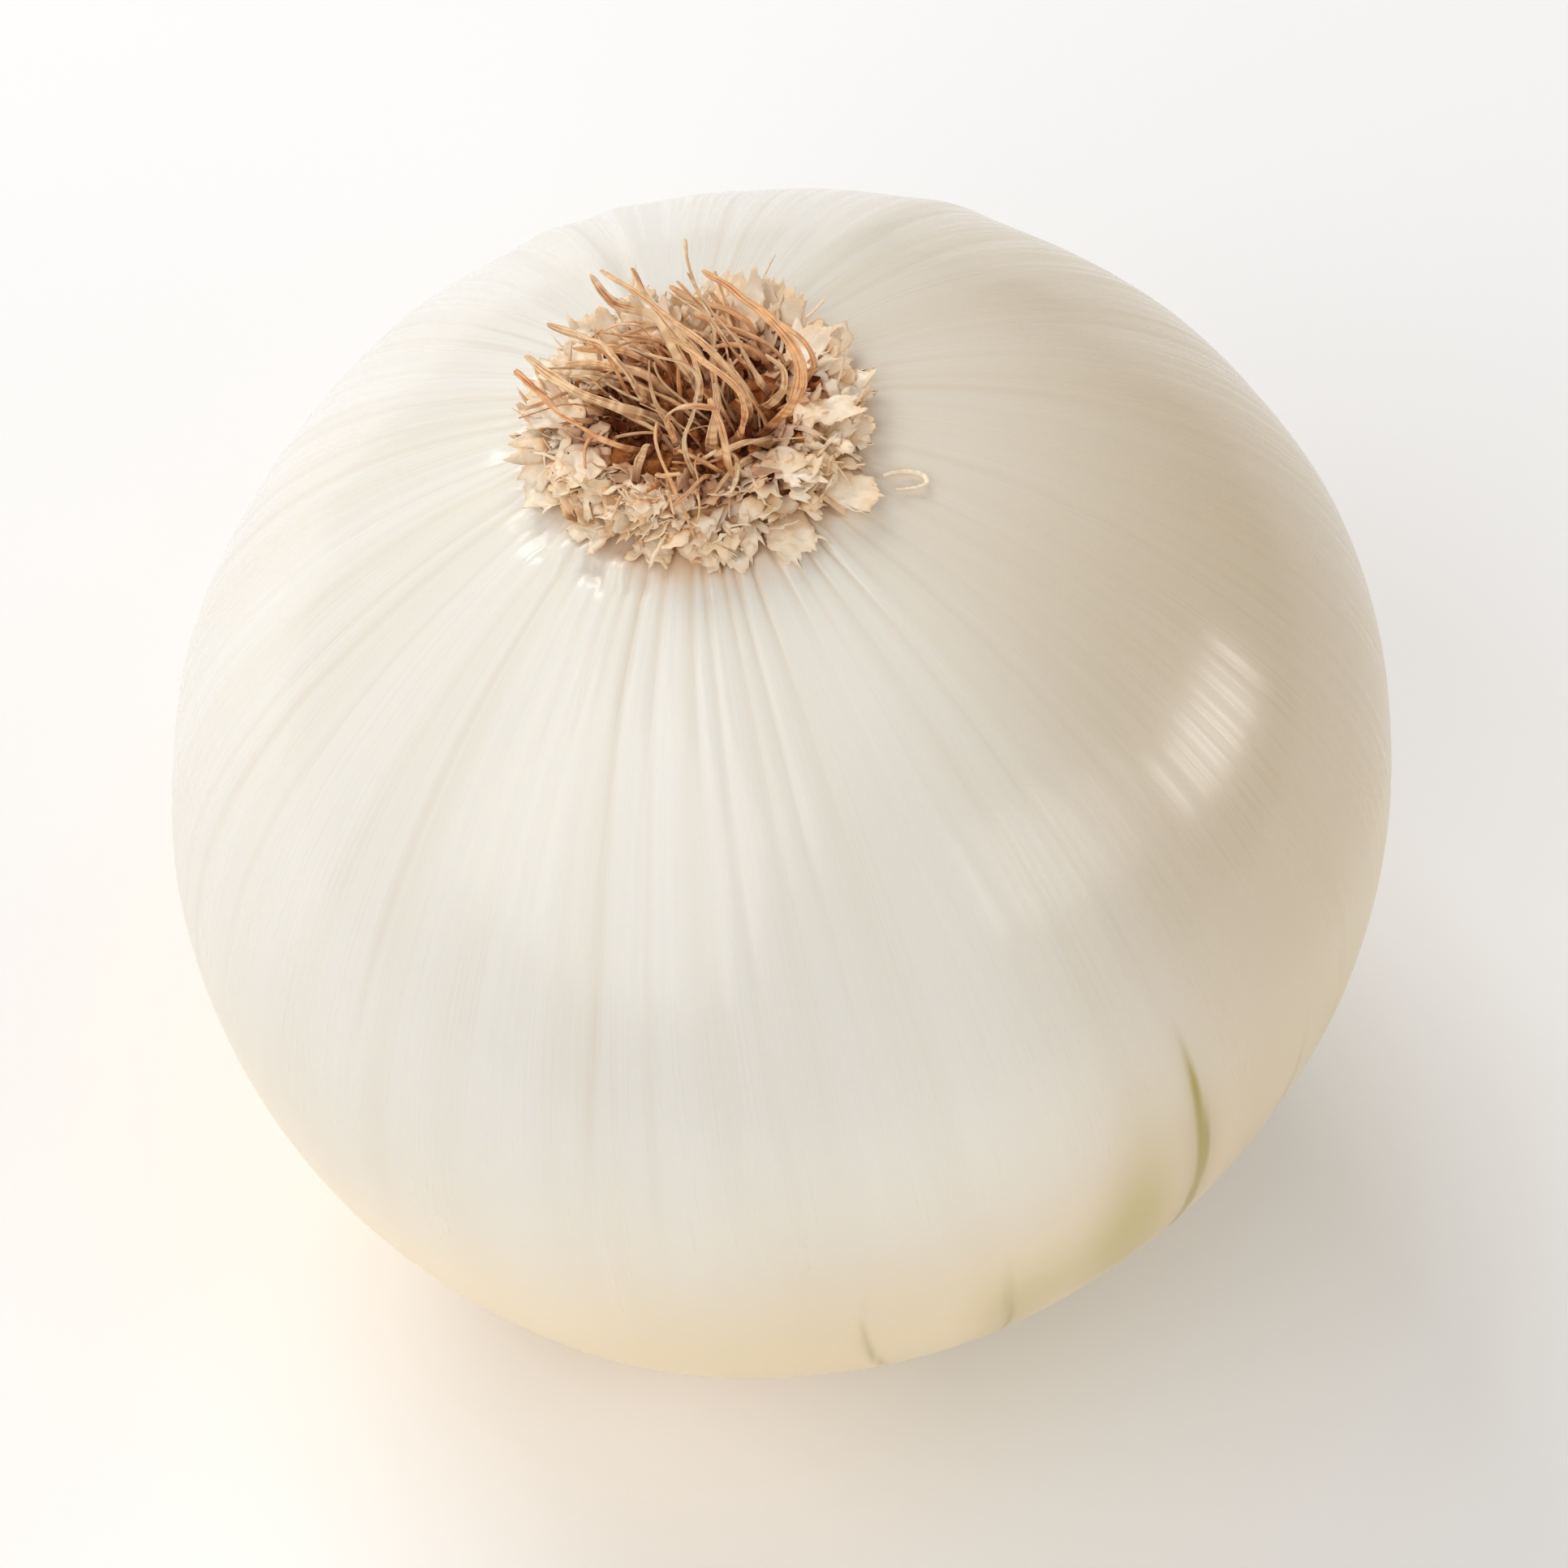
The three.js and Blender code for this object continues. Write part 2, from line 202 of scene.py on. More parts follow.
def shoulder_height(radius):
    """The height of the root end's surface over the widest ring, at a radius."""
    return ROOT_END_HEIGHT * (1 - (radius / BULB_RADIUS) ** 1.95) ** (1 / 1.8)


def body_radius(height):
    """The bulb's radius at a height over the widest ring, or under it if negative."""
    if height >= 0:
        return BULB_RADIUS * max(0, 1 - (height / ROOT_END_HEIGHT) ** 1.8) ** (1 / 1.95)
    return BULB_RADIUS * math.sqrt(max(0, 1 - (height / NECK_END_HEIGHT) ** 2))


def eased(value, low, high):
    """0 below low, 1 above high and smooth between."""
    share = np.clip((value - low) / (high - low), 0, 1)
    return share * share * (3 - 2 * share)


def bulb_outline():
    """The bulb's outline from the middle of the neck up to the middle of the root end."""
    stub_depth = NECK_END_HEIGHT + 4
    blend_depth = 0.78 * NECK_END_HEIGHT
    start = Vector((body_radius(-blend_depth), -blend_depth))
    slope = (BULB_RADIUS / NECK_END_HEIGHT) ** 2 * blend_depth / start.x
    handle = (NECK_END_HEIGHT - blend_depth) * 0.55
    leaving = start - handle * Vector((slope, 1))
    arriving = Vector((NECK_RADIUS, 2 - NECK_END_HEIGHT))
    end = Vector((NECK_RADIUS, -stub_depth))
    points = [Vector((NECK_RADIUS * i / 8, -stub_depth)) for i in range(8)]
    for i in range(24, -1, -1):
        t = i / 24
        bend = 3 * t * (1 - t) * ((1 - t) * leaving + t * arriving)
        points.append((1 - t) ** 3 * start + bend + t**3 * end)
    low, high = math.asin(-0.78), math.asin(shoulder_height(SEAT_RADIUS) / ROOT_END_HEIGHT)
    for i in range(1, 131):
        rise = math.sin(low + (high - low) * i / 130)
        height = rise * (NECK_END_HEIGHT if rise < 0 else ROOT_END_HEIGHT)
        points.append(Vector((body_radius(height), height)))
    points += [Vector((SEAT_RADIUS * i / 10, shoulder_height(SEAT_RADIUS))) for i in range(9, -1, -1)]
    return points


bm = bmesh.new()
outline = [bm.verts.new((p.x, 0, p.y)) for p in bulb_outline()]
edges = [bm.edges.new(pair) for pair in zip(outline, outline[1:])]
SECTORS = 16  # a power of two, as each turn doubles what is there
bmesh.ops.spin(bm, geom=outline + edges, axis=(0, 0, 1), cent=(0, 0, 0), angle=2 * math.pi / SECTORS,
               steps=ROUND_STEPS // SECTORS)
grown = 1
while grown < SECTORS:
    copied = bmesh.ops.duplicate(bm, geom=bm.verts[:] + bm.edges[:] + bm.faces[:])["geom"]
    copied = [v for v in copied if isinstance(v, bmesh.types.BMVert)]
    turn = Matrix.Rotation(2 * math.pi * grown / SECTORS, 3, "Z")
    bmesh.ops.rotate(bm, verts=copied, cent=(0, 0, 0), matrix=turn)
    bmesh.ops.remove_doubles(bm, verts=bm.verts, dist=1e-4)
    grown *= 2
bmesh.ops.recalc_face_normals(bm, faces=bm.faces)
flesh, tree, shader = finish_named(
    "flesh", Specular_IOR_Level=0.5, IOR=1.42, Subsurface_Weight=0.35, Subsurface_Scale=4 * MM,
    Subsurface_Radius=(1.0, 0.8, 0.55), Coat_Weight=0.4, Coat_Roughness=0.17)
peeled_bulb = solid("peeled_bulb", bm, flesh)
mesh = peeled_bulb.data

spots = np.empty(len(mesh.vertices) * 3)
mesh.vertices.foreach_get("co", spots)
spots = spots.reshape(-1, 3)
outwards = np.empty(len(mesh.vertices) * 3)
mesh.vertex_normals.foreach_get("vector", outwards)
outwards = outwards.reshape(-1, 3)
reach = np.hypot(spots[:, 0], spots[:, 1])
around = np.arctan2(spots[:, 1], spots[:, 0])
height = spots[:, 2]

# A map of the skin: across goes once round the bulb, and up follows a vein.
corner = np.empty(len(mesh.loops), dtype=np.int64)
mesh.loops.foreach_get("vertex_index", corner)
first = np.empty(len(mesh.polygons), dtype=np.int64)
mesh.polygons.foreach_get("loop_start", first)
total = np.empty(len(mesh.polygons), dtype=np.int64)
mesh.polygons.foreach_get("loop_total", total)
across = (around / (2 * math.pi) + 0.75)[corner] % 1
wide = np.maximum.reduceat(across, first) - np.minimum.reduceat(across, first) > 0.5
across += np.repeat(wide, total) * (across < 0.5)
skin_map = mesh.uv_layers.new(name="skin_map")
skin_map.data.foreach_set("uv", np.column_stack((across, height[corner] / 90 + 0.5)).ravel())

# Veins, unevenly spaced, and each a little crooked.
dice = np.random.default_rng(11)
vein_at = (np.arange(VEINS) + dice.uniform(-0.32, 0.32, VEINS)) * 2 * math.pi / VEINS
vein_strength = 0.15 + 0.85 * dice.uniform(0, 1, VEINS) ** 1.8
vein_end = dice.uniform(-22, 8, VEINS)  # the height where it fades out
wander = 0.012 * np.sin(2 * around + height / 9) + 0.006 * np.sin(5 * around - height / 5)
turned = (around + wander - vein_at[0]) % (2 * math.pi)
steps = np.append(vein_at - vein_at[0], 2 * math.pi)
left = np.clip(np.searchsorted(steps, turned, side="right") - 1, 0, VEINS - 1)
right = (left + 1) % VEINS
cell = steps[left + 1] - steps[left]
share = (turned - steps[left]) / cell
vein_width = 0.18 + 0.008 * reach


def vein_line(which, distance):
    faded = eased(height, vein_end[which], vein_end[which] + 22)
    return vein_strength[which] * faded * np.exp(-((distance / vein_width) ** 2))


vein = vein_line(left, share * cell * reach) + vein_line(right, (1 - share) * cell * reach)
vein = np.clip(vein, 0, 1)
puff = np.sin(math.pi * share) ** 0.8
fold = np.abs(np.sin(2 * math.pi * share)) ** 0.8
root_end = eased(height, 0, 10)
by_plate = np.exp(-np.maximum(reach - 13, 0) / 7) * root_end
by_neck = eased(-height, 38, 46)
on_seat = 1 - eased(reach, 9.5, SEAT_RADIUS) * 1.0
soft = np.array([noise.noise(Vector(p) * 0.06) for p in spots])
lumps = np.array([noise.noise(Vector(p) * 0.68 + Vector((9, 0, 0))) for p in spots])
waves = dice.uniform(-1, 1, 36)
ribs = np.interp(around, np.linspace(-math.pi, math.pi, 37), np.append(waves, waves[0]))

in_front = 0.16 + 0.84 * np.exp(-(((np.degrees(around) + 76) / 44) ** 2))
bold = in_front * (0.4 + 1.2 * vein_strength[(left + 7) % VEINS])
pleats = bold * (0.3 * by_plate + 0.05 * eased(height, -6, 22)) * (puff - 0.6)
pleats += 0.05 * in_front * by_plate * (fold - 0.6)
creases = (0.12 * by_plate * in_front + 0.03) * vein
rise = (pleats - creases) * (1 - on_seat * root_end) + 0.22 * soft + 0.09 * ribs * eased(height, -20, 10)
swollen = 0.35 + 1.0 * np.exp(-(((np.degrees(around) + 128) / 22) ** 2))
rise += swollen * lumps * np.exp(-(((reach - 12.6) / 1.5) ** 2)) * root_end
for degrees, width, proud in ((112.5, 3.5, 0.4), (104, 3, 0.3), (64, 4, 0.35), (88, 5, -0.2)):
    rise += proud * np.exp(-(((np.degrees(around) - degrees) / width) ** 2)) * eased(height, 4, 20)
rise += by_neck * (0.35 * (puff - 0.6) + 0.3 * lumps)

swell = 1 + sum(
    size * np.cos(count * (around - math.radians(at))) * (height / BULB_RADIUS if count == 1 else 1)
    for count, at, size in LOBES
)
below = np.maximum(0, -height - 15) / (NECK_END_HEIGHT - 15)
shaped = spots * np.column_stack((swell, swell, np.ones_like(swell)))
shaped[:, 0] -= NECK_DRIFT * below**2
shaped += outwards * rise[:, None]
mesh.vertices.foreach_set("co", shaped.ravel())

# Green veins climb from the neck: degrees round, the height where each ends, how strong it is.
GREEN_VEINS = ((-49, 11, 1.4), (-82.5, -1, 0.5), (-69, -2, 0.55), (-34.5, 3, 0.4), (-96, -12, 0.2),
               (-20, -4, 0.3), (-4, -10, 0.25), (14, -6, 0.2), (37, -14, 0.3), (62, -8, 0.2),
               (95, -16, 0.25), (128, -12, 0.2), (150, -18, 0.25), (176, -14, 0.2), (-160, -18, 0.25),
               (-140, -16, 0.15), (-118, -20, 0.2))
green = np.zeros_like(height)
for degrees, top, strength in GREEN_VEINS:
    apart = np.abs((around + 1.5 * wander - math.radians(degrees) + math.pi) % (2 * math.pi) - math.pi)
    line = np.exp(-((apart * reach / 0.35) ** 2)) + 0.3 * np.exp(-((apart * reach / 2.2) ** 2))
    green = np.maximum(green, strength * line * eased(top - height, 0, 18))


def paint(mesh, name, values):
    """Keeps one number for each point of a mesh, for its material to read."""
    layer = mesh.attributes.new(name, "FLOAT", "POINT")
    layer.data.foreach_set("value", np.asarray(values, dtype=np.float32))


paint(mesh, "vein", vein)
# Darker and tanner on the right side, below the top: painted shade on the side away from the key lamp, with a tan
# tint.
right_shade_and_tint = eased(np.cos(around - math.radians(8)), 0.03, 1) * eased(56 - height, 0, 42)
paint(mesh, "right_shade_and_tint", right_shade_and_tint)
patchy = 0.55 + 0.45 * np.sin(7 * around + 1.3) * np.sin(17 * around) + 0.8 * soft
golden = eased(np.cos(around + math.radians(28)), 0.2, 0.95) * eased(-height - 5 * np.sin(9 * around), -9, 22)
paint(mesh, "gold", np.clip(golden * patchy, 0, 1))
ragged = height + 5 * np.sin(23 * around) + 4 * np.sin(41 * around + 1) + 6 * soft
paint(mesh, "fibrous", 0.03 + 0.97 * eased(ragged, -12, 24) + by_neck)
# Darker peach in the grooves between the pleats near the plate, most at the front: painted shade in the grooves.
paint(mesh, "crease", np.clip((0.3 + in_front) * np.exp(-np.maximum(reach - 13, 0) / 4.5) * root_end * (1.1 - puff), 0, 1))
# A warm peach ring close round the plate, most at the front: painted warm shade under the torn skin.
paint(mesh, "warm_shade_under_skin", (0.2 + in_front) * np.exp(-np.maximum(reach - 11.5, 0) / 1.7) * root_end)
paint(mesh, "neck", by_neck)
paint(mesh, "green", np.clip(green, 0, 1))
paint(mesh, "low", eased(-height, -22, 32))
mesh.transform(IN_PLACE)

# The flat neck cut, with the ends of the leaves as steps.
bm = bmesh.new()
bm.from_mesh(mesh)
bmesh.ops.bisect_plane(bm, geom=bm.verts[:] + bm.edges[:] + bm.faces[:], plane_co=(0, 0, 0),
                       plane_no=(0, 0, 1), clear_inner=True)
rim = [e for e in bm.edges if e.is_boundary]
cut = bmesh.ops.contextual_create(bm, geom=rim)["faces"]
across = NECK_RADIUS
for width, step in ((0.5, 0), (0.25, 0.5), (1.7, 0.05), (0.25, -0.35), (1.9, 0), (0.25, 0.4), (1.6, 0),
                    (0.25, -0.3), (1.5, 0), (0.3, 0.5), (1.2, 0.1)):
    made = bmesh.ops.extrude_face_region(bm, geom=cut)["geom"]
    bmesh.ops.delete(bm, geom=cut, context="FACES_ONLY")
    cut = [f for f in made if isinstance(f, bmesh.types.BMFace)]
    smaller = (across - width) / across
    bmesh.ops.scale(bm, vec=(smaller, smaller, 1), verts=cut[0].verts)
    bmesh.ops.translate(bm, vec=(0, 0, step * MM), verts=cut[0].verts)
    across -= width
bmesh.ops.recalc_face_normals(bm, faces=bm.faces)
bm.to_mesh(mesh)
bm.free()
mesh.shade_smooth()


def attribute(tree, name):
    """A number that paint() kept, or a map, as a shader reads it."""
    made = node(tree, "ShaderNodeAttribute", attribute_name=name)
    return made.outputs["Fac"], made.outputs["Vector"]


coordinates = node(tree, "ShaderNodeTexCoord").outputs["Object"]
skin = attribute(tree, "skin_map")[1]
streaks = speckle(tree, stretched(tree, skin, (360, 1.6, 1)), 1, 2, 0.5)
bands = speckle(tree, stretched(tree, skin, (45, 1.5, 1)), 1, 2, 0.5)
clouds = speckle(tree, coordinates, 38, 2)
colour = blend(tree, clouds, shade(245, 242, 234), shade(240, 236, 226))
colour = blend(tree, between(tree, bands, 0.35, 0.75, 0, 0.35), colour, shade(232, 223, 204))
colour = blend(tree, between(tree, attribute(tree, "low")[0], 0, 1, 0, 0.9), colour, shade(253, 223, 168))
# Painted shade on the right side, with a tan tint.
colour = blend(tree, between(tree, attribute(tree, "right_shade_and_tint")[0], 0, 1, 0, 0.72), colour, shade(200, 177, 138))
colour = blend(tree, between(tree, attribute(tree, "gold")[0], 0, 1, 0, 0.85), colour, shade(198, 178, 100))
colour = blend(tree, between(tree, attribute(tree, "vein")[0], 0.05, 0.9, 0, 0.2), colour, shade(216, 200, 176))
# Painted shade in the grooves between the pleats.
colour = blend(tree, between(tree, attribute(tree, "crease")[0], 0, 1, 0, 0.34), colour, shade(242, 220, 196))
# Painted warm shade under the torn skin round the plate.
colour = blend(tree, between(tree, attribute(tree, "warm_shade_under_skin")[0], 0, 1, 0, 0.6), colour, shade(240, 196, 146))
colour = blend(tree, between(tree, attribute(tree, "green")[0], 0, 1, 0, 0.95), colour, shade(170, 150, 52))
dry = blend(tree, streaks, shade(214, 184, 132), shade(170, 128, 78))
colour = blend(tree, between(tree, attribute(tree, "neck")[0], 0.2, 1, 0, 0.85), colour, dry)
tree.links.new(colour, shader.inputs["Base Color"])
fibrous = attribute(tree, "fibrous")[0]
fibres = node(tree, "ShaderNodeMath", {0: streaks, 1: fibrous}, operation="MULTIPLY").outputs[0]
glossy = between(tree, streaks, 0.36, 0.62, 0.18, 0.4)
tree.links.new(between(tree, fibrous, 0, 1, 0.34, glossy), shader.inputs["Roughness"])
rough_surface(tree, shader, fibres, 0.25, 0.02)
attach(peeled_bulb, "root")
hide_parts("bulb")

# ---- Root plate ----
# The corky disc that the leaves and the roots grow from: brown, crumbly and hollow in the middle,
# with the stumps of roots that have broken off.
PLATE_RADIUS = 9.2
PLATE_THICKNESS = 2.3
PLATE_HOLLOW = 1.1
PLATE_HEIGHT = shoulder_height(SEAT_RADIUS) + 0.3  # of its underside, over the widest ring

ON_PLATE = IN_PLACE @ Matrix.Translation((0, 0, PLATE_HEIGHT))


def plate_top(radius):
    """The height of the plate's top over its underside."""
    return PLATE_THICKNESS - PLATE_HOLLOW * max(0, 1 - (radius / PLATE_RADIUS) ** 2) ** 1.5


bm = bmesh.new()
outline = [(0, -0.2), (4, -0.2), (PLATE_RADIUS - 0.4, -0.2), (PLATE_RADIUS, 0.5), (PLATE_RADIUS, 1.2)]
outline += [(PLATE_RADIUS * i / 30, plate_top(PLATE_RADIUS * i / 30)) for i in range(30, -1, -1)]
outline = [bm.verts.new((r, 0, z)) for r, z in outline]
edges = [bm.edges.new(pair) for pair in zip(outline, outline[1:])]
bmesh.ops.spin(bm, geom=outline + edges, axis=(0, 0, 1), cent=(0, 0, 0), angle=2 * math.pi,
               steps=150, use_merge=True)
bmesh.ops.remove_doubles(bm, verts=bm.verts, dist=1e-4)
bmesh.ops.recalc_face_normals(bm, faces=bm.faces)
for v in bm.verts:
    coarse = noise.turbulence(v.co * 0.55, 3, False)
    crumbs = noise.noise(v.co * 2.4)
    top = max(0, min(1, v.co.z - 0.6))
    spread = 1 + 0.06 * noise.noise(Vector((v.co.x, v.co.y, 0)) * 0.6) * min(1, v.co.xy.length / 6)
    v.co.x *= spread
    v.co.y *= spread
    v.co.z += top * (0.9 * coarse - 0.55 + 0.22 * crumbs)
rim = bm.verts.layers.float.new("rim")
for v in bm.verts:
    v[rim] = max(0, min(1, (v.co.xy.length - 6.6) / 2))
bm.transform(ON_PLATE)
cork, tree, shader = finish_named("cork", Roughness=0.9, Specular_IOR_Level=0.2)
coordinates = node(tree, "ShaderNodeTexCoord").outputs["Object"]
patches = speckle(tree, coordinates, 350, 5, 0.6)
grit = speckle(tree, coordinates, 1600, 3, 0.6)
colour = blend(tree, between(tree, patches, 0.40, 0.66), shade(104, 42, 14), shade(214, 140, 78))
colour = blend(tree, between(tree, grit, 0.5, 0.8, 0, 0.6), colour, shade(226, 190, 146))
pale = blend(tree, patches, shade(206, 152, 100), shade(240, 208, 168))
# Paler towards the rim and darker in the middle: the cork's own colour, and partly painted shade among the roots
# over the middle.
colour = blend(tree, between(tree, attribute(tree, "rim")[0], 0, 1, 0, 0.9), colour, pale)
tree.links.new(colour, shader.inputs["Base Color"])
tree.links.new(between(tree, grit, 0.3, 0.7, 0.75, 0.95), shader.inputs["Roughness"])
rough_surface(tree, shader, grit, 0.8, 0.25)
crumbly_plate = solid("crumbly_plate", bm, cork)
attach(crumbly_plate, "root")
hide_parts("root_plate")

# ---- Root stumps ----
# Roots that broke off short, as crumbly stubs with hollow ends, all over the plate.
random.seed(5)
bm = bmesh.new()
for i in range(130):
    turn = i * 2.39996 + random.uniform(-0.4, 0.4)
    away = PLATE_RADIUS * 0.97 * math.sqrt((i + 0.5) / 130)
    radius = random.uniform(0.3, 0.52)
    tall = random.uniform(0.35, 1.3)
    made = bmesh.ops.create_cone(bm, cap_ends=True, segments=8, radius1=radius,
                                 radius2=radius * random.uniform(0.6, 1.05), depth=tall)["verts"]
    top = [f for f in bm.faces if len(f.verts) == 8 and f.normal.z > 0.5 and f.verts[0] in made]
    lean = Matrix.Rotation(random.uniform(-0.5, 0.5), 4, "X") @ Matrix.Rotation(random.uniform(-0.5, 0.5), 4, "Y")
    spot = Vector((away * math.cos(turn), away * math.sin(turn), plate_top(away) + tall * 0.35 - 0.3))
    bmesh.ops.inset_region(bm, faces=top, thickness=radius * 0.35)
    bmesh.ops.translate(bm, verts=top[0].verts, vec=(0, 0, -0.4 * tall))
    stump = list({v for f in bm.faces if f.verts[0] in made or f in top for v in f.verts} | set(made))
    bmesh.ops.transform(bm, matrix=Matrix.Translation(spot) @ lean, verts=stump)
for v in bm.verts:
    v.co += 0.22 * noise.noise_vector(v.co * 1.7)
bmesh.ops.recalc_face_normals(bm, faces=bm.faces)
bm.transform(ON_PLATE)
stumps = solid("root_stumps", bm, cork)
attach(stumps, "root")

# ---- Roots ----
# Dried roots: thin flattened threads, twisted and wrinkled lengthwise, tan with dark creases.
# Each follows the middle of its solid in the frame.
ROOT_SIDES = 12
ROOT_STEP = 0.3


def middle_line(name):
    """The middle of a tube node, ring by ring from its foot, in the bulb's own frame."""
    bm = bmesh.new()
    bm.from_mesh(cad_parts[name].data)
    bmesh.ops.remove_doubles(bm, verts=bm.verts, dist=1e-3 * MM)
    bm.transform(IN_PLACE.inverted())
    lowest = sorted(bm.verts, key=lambda v: v.co.z)
    ring, seen, line = set(lowest[:6]), set(), []
    while ring:
        line.append(sum((v.co for v in ring), Vector()) / len(ring))
        seen |= ring
        ring = {e.other_vert(v) for v in ring for e in v.link_edges} - seen
    bm.free()
    return line


def smooth_line(points, step):
    """Points at an even step along a smooth line through the given ones."""
    padded = [2 * points[0] - points[1], *points, 2 * points[-1] - points[-2]]
    fine = []
    for a, b, c, d in zip(padded, padded[1:], padded[2:], padded[3:]):
        for i in range(8):
            t = i / 8
            fine.append(0.5 * (2 * b + (c - a) * t + (2 * a - 5 * b + 4 * c - d) * t * t
                               + (3 * b - 3 * c + d - a) * t**3))
    fine.append(points[-1])
    length = sum((b - a).length for a, b in zip(fine, fine[1:]))
    count = max(4, round(length / step))
    line, gone, k = [fine[0]], 0.0, 0
    for i in range(1, count):
        target = length * i / count
        while gone + (fine[k + 1] - fine[k]).length < target:
            gone += (fine[k + 1] - fine[k]).length
            k += 1
        line.append(fine[k].lerp(fine[k + 1], (target - gone) / (fine[k + 1] - fine[k]).length))
    return line + [fine[-1]]


def root_mesh():
    """An empty mesh that keeps each point's nearness to the foot, its tone, and a map of its fibres."""
    bm = bmesh.new()
    bm.verts.layers.float.new("foot")
    bm.verts.layers.float.new("tone")
    bm.loops.layers.uv.new("grain")
    return bm


def swept(bm, line, sides, section):
    """Draws a closed tube along a line. section(i, angle) is a point of its outline there."""
    grain = bm.loops.layers.uv["grain"]
    disc = bmesh.ops.create_circle(bm, cap_ends=True, segments=sides, radius=1)["verts"][0].link_faces[0]
    side = (line[1] - line[0]).orthogonal().normalized()
    rings = []
    for i, spot in enumerate(line):
        ahead = (line[min(i + 1, len(line) - 1)] - line[max(i - 1, 0)]).normalized()
        side = (side - side.dot(ahead) * ahead).normalized()
        other = ahead.cross(side)
        if i:
            made = bmesh.ops.extrude_face_region(bm, geom=[disc])["geom"]
            disc = next(f for f in made if isinstance(f, bmesh.types.BMFace))
        ring = [loop.vert for loop in disc.loops]
        for k, v in enumerate(ring):
            x, y = section(i, 2 * math.pi * k / sides)
            v.co = spot + x * side + y * other
        rings.append(ring)
    place = {v: (k, i) for i, ring in enumerate(rings) for k, v in enumerate(ring)}
    for ring in rings:
        for v in ring:
            for loop in v.link_loops:
                if loop.vert not in place:
                    continue
                k, i = place[loop.vert]
                wrapped = max(place[o][0] for o in loop.face.verts if o in place) == sides - 1 and k == 0
                loop[grain].uv = ((sides if wrapped else k) / sides, i)
    return rings


root_finish, tree, shader = finish_named("dry_root", Specular_IOR_Level=0.4)
grain = attribute(tree, "grain")[1]
fibre = speckle(tree, stretched(tree, grain, (14, 0.07, 1)), 1, 4, 0.6)
patch = speckle(tree, stretched(tree, grain, (3, 0.06, 1)), 1, 3, 0.5)
tone = attribute(tree, "tone")[0]
colour = blend(tree, tone, shade(255, 194, 136), shade(255, 228, 182))
colour = blend(tree, between(tree, fibre, 0.32, 0.54), shade(184, 98, 44), colour)
colour = blend(tree, between(tree, patch, 0.5, 0.72, 0, 0.7), colour, shade(255, 232, 202))
# Dark brown towards each root's foot: painted shade where the roots crowd out of the plate, and partly the roots'
# own darker bases.
colour = blend(tree, between(tree, attribute(tree, "foot")[0], 0, 1, 0, 0.8), colour, shade(120, 60, 24))
tree.links.new(colour, shader.inputs["Base Color"])
tree.links.new(between(tree, fibre, 0.3, 0.7, 0.8, 0.55), shader.inputs["Roughness"])
rough_surface(tree, shader, fibre, 0.7, 0.16)

root_names = sorted(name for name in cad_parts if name.startswith("root_0") or name[5:7].isdigit())
for number, name in enumerate(root_names):
    random.seed(100 + number)
    line = smooth_line(middle_line(name), ROOT_STEP)
    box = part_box(name)
    steps = len(line) - 1
    thick = 0.25 + 0.22 * random.random() ** 2
    flat = random.uniform(0.3, 0.6)
    twist = random.uniform(-2.5, 2.5)
    begin = random.uniform(0, math.pi)
    sway = random.uniform(0, 50)

    def root_section(i, angle):
        along = i / steps
        turned = begin + twist * along + 0.8 * noise.noise(Vector((i * 0.06, sway, 3)))
        groove = 1 - 0.45 * math.exp(-((math.cos(angle + 0.4) / 0.45) ** 2))
        x, y = math.cos(angle), flat * math.sin(angle) * groove
        taper = 1.08 - 0.35 * along - 0.3 * max(0, along - 0.97) / 0.03
        lumpy = 1 + 0.3 * noise.noise(Vector((i * ROOT_STEP * 0.6, sway, 0)))
        wrinkle = 1 + 0.3 * noise.noise(Vector((2.2 * math.cos(angle), 2.2 * math.sin(angle), i * 0.05 + sway)))
        size = thick * taper * lumpy * wrinkle
        return (size * (x * math.cos(turned) - y * math.sin(turned)),
                size * (x * math.sin(turned) + y * math.cos(turned)))

    bent = [p + 0.2 * noise.noise_vector(Vector((i * ROOT_STEP * 0.4, sway, 1))) for i, p in enumerate(line)]
    bm = root_mesh()
    foot, tone = bm.verts.layers.float["foot"], bm.verts.layers.float["tone"]
    rings = swept(bm, bent, ROOT_SIDES, root_section)
    pale = random.random()
    # Each ring's nearness to the foot, which the material paints as shade among the crowded roots, and each
    # root's tone.
    for i, ring in enumerate(rings):
        for v in ring:
            v[foot] = max(0, 1 - i * ROOT_STEP / 3.5)
            v[tone] = pale
    bmesh.ops.recalc_face_normals(bm, faces=bm.faces)
    bm.transform(IN_PLACE)
    dry_root = solid(f"dry_{name}", bm, root_finish)
    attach(dry_root, "root")
    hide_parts(name)

